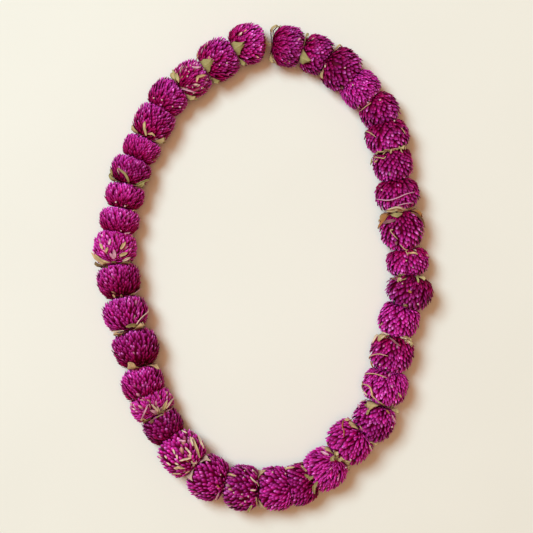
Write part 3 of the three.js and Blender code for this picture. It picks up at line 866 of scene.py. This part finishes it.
def bract_path(index, directions, sway, random):
    """The middle line of each bract, its forward direction and its outward direction."""
    count = len(directions)
    normal = head_normals(directions, index)
    uneven = random.normal(0, DEPTH_SPREAD, count)[:, None]
    seat = head_surface(directions, index, BRACT_BED) + normal * uneven
    to_apex = unit(UP - normal * normal[:, 2:] + 1e-4)
    around = unit(np.cross(UP, normal) + 1e-6)
    forward = unit(to_apex + around * sway[:, None])
    # Lying along the head near its base, leaning at its waist, upright near its apex
    near_base = (1 - directions[:, 2]) / 2
    reach = (BRACT_REACH + BASE_REACH * near_base) * random.uniform(*SIZE_SPREAD, count)
    depth = BRACT_DEPTH - BASE_RISE * near_base
    flare = np.exp(-(((directions[:, 2] - RIM_AT) / RIM_WIDTH) ** 2))
    stand = (BRACT_STAND + RIM_FLARE * flare) * random.uniform(*STAND_SPREAD, count)
    share = np.append(BRACT_STATIONS, 1.0)
    back = 1 - share
    along = -(reach[:, None] * back)
    out = -(depth[:, None] * back**1.25) + stand[:, None] * share**3
    path = seat[:, None] + forward[:, None] * along[..., None] + normal[:, None] * out[..., None]
    lean = np.arctan2(depth, reach)[:, None]
    outer = np.cos(lean) * normal - np.sin(lean) * forward
    return path, forward, outer


def bract_points(index, directions, sway, random):
    """Points of all the bracts of a head, in its own frame: count, points of a bract, 3."""
    count = len(directions)
    path, forward, outer = bract_path(index, directions, sway, random)
    sideways = unit(np.cross(outer, forward))
    roll = random.normal(0, ROLL_SPREAD, count)[:, None]
    wing = sideways * np.cos(roll) + outer * np.sin(roll)
    keel = outer * np.cos(roll) - sideways * np.sin(roll)
    slim = 1 - BASE_SLIMNESS * np.clip(-directions[:, 2], 0, 1)
    plump = FINE_SHARE if index + 1 in FINE_HEADS else 1.0
    width = BRACT_HALF_WIDTH * plump * slim * random.uniform(*SIZE_SPREAD, count)
    rings = []
    for station, (width_share, keel_height) in enumerate(zip(BRACT_WIDTHS, BRACT_KEELS)):
        for along_wing, along_keel in BRACT_SECTION:
            raised = keel * along_keel * keel_height * plump
            offset = wing * (width * along_wing * width_share)[:, None] + raised
            rings.append(path[:, station] + offset)
    rings.append(path[:, -1])
    return np.stack(rings, axis=1)


def share_of(number, dark, bright):
    if number in dark:
        return DARK_SHARE
    return BRIGHT_SHARE if number in bright else 1.0


def bract_tints(index, directions, random):
    """A colour for each point of each bract: painted shade at the root, a painted highlight or a faded
    tone at the tip, and painted light and shade across the keel.
    """
    count = len(directions)
    share = np.append(np.repeat(BRACT_STATIONS, len(BRACT_SECTION)), 1.0)[None, :, None]
    painted_light = np.append(np.tile(BRACT_PAINTED_LIGHT, len(BRACT_STATIONS)), TIP_PAINTED_HIGHLIGHT)[None, :, None]
    near_apex = (directions[:, 2] + 1) / 2
    uneven = random.normal(0, VIVID_SPREAD, count)
    # The base colours give way to the apex colours. The darker base is partly the crimson of older bracts
    # and partly painted shade where it nests against the head beside it.
    vivid = np.clip((near_apex - VIVID_FROM) * VIVID_RATE + uneven, 0, 1)[:, None, None]
    vivid = np.maximum(vivid, FRESH_SHARE) if index + 1 in BRIGHT_BASES else vivid
    # Painted shade at the roots, deep among the bracts, and a painted highlight at the tips
    root = mixed(BASE_ROOT_SHADE, APEX_ROOT_SHADE, vivid)
    middle = mixed(BASE_MIDDLE, APEX_MIDDLE, vivid)
    tip = mixed(BASE_TIP_HIGHLIGHT, APEX_TIP_HIGHLIGHT, vivid)
    tints = mixed(root, middle, ramp(share, *MIDDLE_RAMP))
    tints = mixed(tints, tip, ramp(share, *TIP_RAMP))
    # Some tips near the apex are pale and papery, with a painted glint on top
    papery_glint = (random.random(count) < PAPERY_GLINT_SHARE * near_apex**2)[:, None, None]
    tints = mixed(tints, PAPERY_GLINT_TIP, papery_glint * ramp(share, *PAPERY_GLINT_RAMP))
    faded = random.random(count) < FADED_HEADS.get(index + 1, FADED_ELSEWHERE)
    pale = (faded * random.uniform(*FADING, count))[:, None, None]
    tone = FADED_TONES[random.integers(0, len(FADED_TONES), count)][:, None]
    tints = mixed(tints, tone, pale * ramp(share, *FADED_RAMP))
    base_light = share_of(index + 1, DARK_BASES, BRIGHT_BASES)
    apex_light = share_of(index + 1, DULL_APEXES, BRIGHT_APEXES)
    light = mixed(base_light, apex_light, near_apex) * random.lognormal(0, LIGHT_SPREAD, count)
    # Painted highlight on the keels and tips, painted shade on the edges
    return tints * light[:, None, None] * painted_light


def flower_head(index, material):
    random = default_rng(HEAD_SEED + index)
    soup = Soup()
    core, faces = ball_mesh(rows=14, columns=20)
    # A core under the bracts, coloured as painted shade of the deep crevices
    soup.add(placed(head_surface(core, index, CORE_DEPTH), index), faces, CORE_CREVICE_SHADE)
    count = FINE_COUNT if index + 1 in FINE_HEADS else BRACT_COUNT
    directions, sway = with_twins(spiral_directions(count, random), random)
    apart = default_rng(OVERLAP_SEED + index)
    overlap = apart.uniform(*BRACT_OVERLAP, [len(directions), 1])
    bracts = placed(bract_points(index, directions, sway, random), index, overlap)
    tints = bract_tints(index, directions, random)
    soup.add(bracts, bract_faces(len(directions)), tints.reshape(-1, 3))
    node = f"flower_head_{index + 1:02d}"
    soup.piece(f"{node}_bracts", material, "bracts", node)


# Leafy bracts: the pitch and height of their ripples, veins and blotches were set one by one


def leaf_grid(meeting, leaf, random):
    """A wavy leaf between two heads as a grid of points, with its shares along and across."""
    place, along, radius = meeting
    around, reach, width, lean = leaf
    away = turned(UP, along, -math.radians(around))
    sideways = unit(np.cross(along, away))
    share = np.linspace(LEAF_OUTLINE[0, 0], 1, LEAF_STEPS)[:, None]
    across = np.linspace(-1, 1, LEAF_COLUMNS)[None, :]
    outline = np.interp(share, *LEAF_OUTLINE.T)
    phase = random.uniform(0, 2 * math.pi, 3)
    ragged = 1 + LEAF_RAGGED * np.sin(share * 37 + phase[0] + np.sign(across)) * np.abs(across)
    distance = reach * share - LEAF_HOLLOW * across**2 * share
    opened = np.maximum(0, share - LEAF_BEND_AT) / (1 - LEAF_BEND_AT)
    wave = LEAF_WAVE * np.sin(share * 17 + across * 2.4 + phase[1]) * np.abs(across) * opened
    curl = (LEAF_CURL * np.sin(phase[2]) * across**2 + LEAF_FOLD * np.abs(across)) * opened
    midrib = -MIDRIB_DEPTH * np.exp(-((across / MIDRIB_WIDTH) ** 2))
    veins = VEIN_HEIGHT * np.cos((share * 14 - np.abs(across) * 3) * 2.2)
    forward = nest_at(distance, radius) + lean * opened**2 + wave + curl + midrib + veins
    grid = place + away * distance[..., None] + along * forward[..., None]
    return grid + sideways * (across * ragged * outline * width / 2)[..., None], share, across


def leaf_tints(fresh, dry, share, across, random):
    """Painted shade where the heads hide it, dry at the tip, with a midrib, veins and a brown rim."""
    blotch = 0.25 * np.sin(share * 23 + random.uniform(0, 6)) * np.cos(across * 4 + random.uniform(0, 6))
    dryness = np.clip((share - 0.45) * 1.3 + np.abs(across) * 0.25 + blotch, 0, 1)[..., None]
    tints = mixed(fresh, dry, dryness)
    rib = 0.35 * np.exp(-((across / 0.14) ** 2))[..., None]
    tints = mixed(tints, STRAW, rib)
    vein = (0.13 * np.cos((share * 14 - np.abs(across) * 3) * 4.4))[..., None]
    rim = np.clip((np.abs(across) - 0.8) * 3 + (share - 0.93) * 5, 0, 1)[..., None] * 0.45
    tints = mixed(tints, BROWN, rim) * (1 + vein)
    # Painted shade of the heads over the leaf's hidden root
    painted_shade = 1 - ramp(share, *PAINTED_SHADE_RAMP)[..., None]
    return mixed(tints, LEAF_PAINTED_SHADE, painted_shade * PAINTED_SHADE_DEPTH)


def leaf_ring(soup, meeting):
    """The scar round the thread where the two leaves grew."""
    _, along, _ = meeting
    angles = np.linspace(0, 2 * math.pi, 15)[:, None]
    circle = around_axis(along, angles) * LEAF_RING_RADIUS
    tube(soup, hole_place(meeting) + circle, LEAF_RING_WIRE, 6, BROWN)


def leafy_bracts(index, material):
    random = default_rng(LEAF_SEED + index)
    meeting = MEETINGS[index]
    soup = Soup()
    leaf_ring(soup, meeting)
    fresh, dry, *leaves = LEAFY_BRACTS[index + 1]
    for leaf in leaves:
        grid, share, across = leaf_grid(meeting, leaf, random)
        tints = leaf_tints(fresh, dry, share, across, random)
        thin_solid(soup, grid, LEAF_THICKNESS, tints)
    node = f"leafy_bracts_{index + 1:02d}"
    soup.piece(f"{node}_leaves", material, "leaf", node)


# Small things on the heads, placed by where they are seen


def outer_surface():
    """The smooth outline of all the heads, on which the small things rest."""
    directions, faces = ball_mesh(rows=26, columns=40)
    points, triangles = [], []
    for index in range(len(HEADS)):
        triangles.append(faces + index * len(directions))
        points.append(placed(head_surface(directions, index, -TIP_COVER), index))
    return BVHTree.FromPolygons(np.concatenate(points).tolist(), np.concatenate(triangles).tolist())


SURFACE = outer_surface()


def seen_at(pixel):
    """Where the line of sight through a pixel of the photograph meets the heads, and which way is out."""
    offset = np.array([pixel[0] - PHOTO_PIXELS / 2, PHOTO_PIXELS / 2 - pixel[1]])
    level = VIEW_CENTRE + offset * PHOTO_WIDTH / PHOTO_PIXELS
    target = np.array([*level, MIDDLE_HEIGHT])
    place, normal, _, _ = SURFACE.ray_cast(Vector(EYE), Vector(unit(target - EYE)))
    if place is None:
        place, normal, _, _ = SURFACE.find_nearest(Vector(target))
    normal = np.array(normal)
    return np.array(place), normal * (1 if normal[2] >= 0 else -1)


def draped(pixels, steps, lift, level=0.0, upturn=UPTURN):
    """A route over the heads through the pixels that bridges the grooves, and nowhere under a level."""
    seen = np.array([seen_at(pixel) for pixel in smooth_route(pixels, steps)])
    route, normals = seen[:, 0], unit(seen[:, 1] + UP * upturn)
    bed = route[:, 2].copy()
    for _ in range(BRIDGE_ROUNDS):
        height = route[:, 2]
        bridged = (height[:-2] + height[2:]) / 2 - BRIDGE_SAG
        route[1:-1, 2] = np.maximum(bed[1:-1], bridged)
    route[:, 2] = np.maximum(route[:, 2], level)
    return route + normals * lift, normals


def strip_tints(tone, share, across, random):
    uneven = 1 + 0.16 * np.sin(share * 9 + random.uniform(0, 6)) + 0.1 * np.cos(across * 5 + share * 20)
    rim = np.clip((np.abs(across) - 0.55) * 1.4, 0, 1)[..., None] * 0.3
    return mixed(tone, TAN, rim) * uneven[..., None]


def ribbons(soup, rows, random, outline, lift, level=0.0, upturn=UPTURN):
    """Thin folded strips that rest on the heads, with their width given by an outline."""
    for tone, width, *pixels in rows:
        route, normals = draped(pixels, 5, lift, level, upturn)
        ahead = unit(np.gradient(route, axis=0))
        sideways = unit(np.cross(normals, ahead))
        share = np.linspace(0, 1, len(route))[:, None]
        across = np.linspace(-1, 1, 5)[None, :]
        half = np.interp(share, *outline) * width / 2
        ragged = 1 + 0.12 * np.sin(share * 19 + across * 2 + random.uniform(0, 6))
        curl = random.uniform(0.15, 0.4) * across**2 + 0.12 * np.sin(share * 11 + random.uniform(0, 6))
        tip_up = random.uniform(0.2, 0.7) * share**3
        spread = sideways[:, None] * (across * half * ragged)[..., None]
        raised = normals[:, None] * (curl + tip_up)[..., None]
        grid = route[:, None] + spread + raised
        thin_solid(soup, grid, STRIP_THICKNESS, strip_tints(tone, share, across, random))


def dry_strips(material):
    random = default_rng(STRIP_SEED)
    soup = Soup()
    ribbons(soup, SEEN_STRIPS, random, STRIP_OUTLINE, LIFT)
    ribbons(soup, SEEN_CROWN, random, STRIP_OUTLINE, CROWN_LIFT, upturn=CROWN_UPTURN)
    soup.piece("dry_strips", material, "leaf")


def star_level():
    """The height of the star's highest tip, at which its stiff arms hold it."""
    return max(seen_at(tip)[0][2] for *_, tip in SEEN_STAR)


def faded_blades(material):
    random = default_rng(BLADE_SEED)
    soup = Soup()
    ribbons(soup, SEEN_BLADES, random, BLADE_OUTLINE, BLADE_LIFT)
    ribbons(soup, SEEN_STAR, random, BLADE_OUTLINE, STAR_LIFT, star_level())
    soup.piece("faded_blades", material, "leaf")


def dry_fibres(material):
    soup = Soup()
    for tone, radius, *pixels in SEEN_FIBRES:
        route, _ = draped(pixels, 7, LIFT)
        radii = radius * np.interp(np.linspace(0, 1, len(route)), *FIBRE_OUTLINE)
        tube(soup, route, radii, 6, tone)
    soup.piece("dry_fibres", material, "leaf")


def dome(soup, place, normal, radius, height, tint, rim_tint):
    """A low closed dome that stands on the heads."""
    directions, faces = ball_mesh(rows=8, columns=10)
    points = directions * [radius, radius, height] @ turn_to(normal, UP + [0.3, 0.1, 0]) + place
    share = np.clip(directions[:, 2:], 0, 1)
    soup.add(points, faces, mixed(rim_tint, tint, share))


def florets(material):
    """Cream tips of the small flowers that show between the bracts."""
    random = default_rng(FLORET_SEED)
    soup = Soup()
    for pixel in SEEN_FLORETS:
        place, normal = seen_at(pixel)
        leaning = unit(normal + random.normal(0, FLORET_LEAN, 3))
        radius = random.uniform(*FLORET_RADIUS)
        dome(soup, place + leaning * FLORET_LIFT, leaning, radius, radius * FLORET_HEIGHT, CREAM, ROSE)
    soup.piece("florets", material, "leaf")


def stem_scars(material):
    soup = Soup()
    for radius, pixel in SEEN_SCARS:
        place, normal = seen_at(pixel)
        top = place + normal * SCAR_LIFT
        if pixel == STAR_CENTRE:
            top[2] = star_level() + STAR_SCAR_LIFT
        dome(soup, top, normal, radius, SCAR_HEIGHT, OLIVE, BROWN)
        dome(soup, top + normal * PITH_AT, normal, radius * PITH_SHARE, PITH_HEIGHT, PITH_BROWN, BROWN)
    soup.piece("stem_scars", material, "leaf")


# Thread


def twisted(soup, route):
    """Two yarns twisted round each other, with even steps along the route."""
    lengths = np.append(0, np.cumsum(np.linalg.norm(np.diff(route, axis=0), axis=-1)))
    count = max(8, int(lengths[-1] / PLY_PITCH * STEPS_A_TURN))
    even = np.linspace(0, lengths[-1], count)
    route = np.stack([np.interp(even, lengths, route[:, axis]) for axis in range(3)], axis=-1)
    ahead = unit(np.gradient(route, axis=0))
    angle = np.arange(count)[:, None] / STEPS_A_TURN * 2 * math.pi
    for turn in (0, math.pi):
        offset = around_axis(ahead, angle + turn, NEARLY_UP) * (THREAD_RADIUS - PLY_RADIUS)
        tube(soup, route + offset, PLY_RADIUS, 6, THREAD_BEIGE)


def knot(soup, place):
    """A pulled overhand knot, as a small trefoil of thread."""
    angle = np.linspace(0, 2 * math.pi, 40)
    x = np.sin(angle) + 2 * np.sin(2 * angle)
    y = np.cos(angle) - 2 * np.cos(2 * angle)
    z = -1.6 * np.sin(3 * angle)
    loop = np.stack([x, y, z], axis=-1) / 3 * KNOT_RADIUS
    tube(soup, place + loop, THREAD_RADIUS, 8, THREAD_BEIGE)


def thread_piece(material):
    soup = Soup()
    (start, _, _), (end, _, _) = MEETINGS[-1], MEETINGS[0]
    knot_place = mixed(start, end, KNOT_SHARE)
    route = [knot_place, *map(hole_place, MEETINGS), knot_place]
    twisted(soup, smooth_route(route, 12))
    knot(soup, knot_place)
    for tail in TAIL_ENDS:
        bend = np.array(tail) * 0.5 + TAIL_BEND
        twisted(soup, smooth_route([knot_place, knot_place + bend, knot_place + tail], 8))
    soup.piece("thread_strand", material, "thread", "thread")


# The surface, the light and the camera


def add_camera():
    camera = add_object("camera", bpy.data.cameras.new("camera"))
    camera.data.lens = LENS
    camera.data.sensor_width = SENSOR
    camera.location = Vector(EYE) * MM
    bpy.context.scene.camera = camera


def add_floor():
    mesh = bpy.data.meshes.new("surface")
    corners = np.array([[-1, -1, 0], [1, -1, 0], [1, 1, 0], [-1, 1, 0]]) * FLOOR_HALF_SIDE
    mesh.from_pydata(corners.tolist(), [], [[0, 1, 2, 3]])
    mesh.materials.append(paper_material())
    floor = add_object("surface", mesh)


def add_light(name, direction, distance, size, power, colour):
    """A square soft light that shines on the lei's middle from a direction."""
    light = add_object(name, bpy.data.lights.new(name, "AREA"))
    light.data.size = size
    light.data.energy = power
    light.data.color = colour
    place = Vector(unit(np.array(direction))) * distance
    light.location = place
    light.rotation_mode = "QUATERNION"
    light.rotation_quaternion = place.to_track_quat("Z", "Y")


def add_lighting():
    bpy.context.scene.view_settings.view_transform = "Standard"
    world = bpy.data.worlds.new("room")
    world.use_nodes = True
    world.node_tree.nodes["Background"].inputs["Color"].default_value = ROOM_COLOUR
    bpy.context.scene.world = world
    for name, values in LIGHTS.items():
        add_light(name, *values)


add_camera()
add_floor()
add_lighting()
materials = [tinted_material(name, *values) for name, values in MATERIALS.items()]
bract_material, leaf_material, blade_material, floret_material, thread_material = materials
for head in range(len(HEADS)):
    flower_head(head, bract_material)
    if head + 1 in LEAFY_BRACTS:
        leafy_bracts(head, leaf_material)
thread_piece(thread_material)
dry_strips(leaf_material)
faded_blades(blade_material)
dry_fibres(leaf_material)
florets(floret_material)
stem_scars(leaf_material)

bpy.context.view_layer.update()
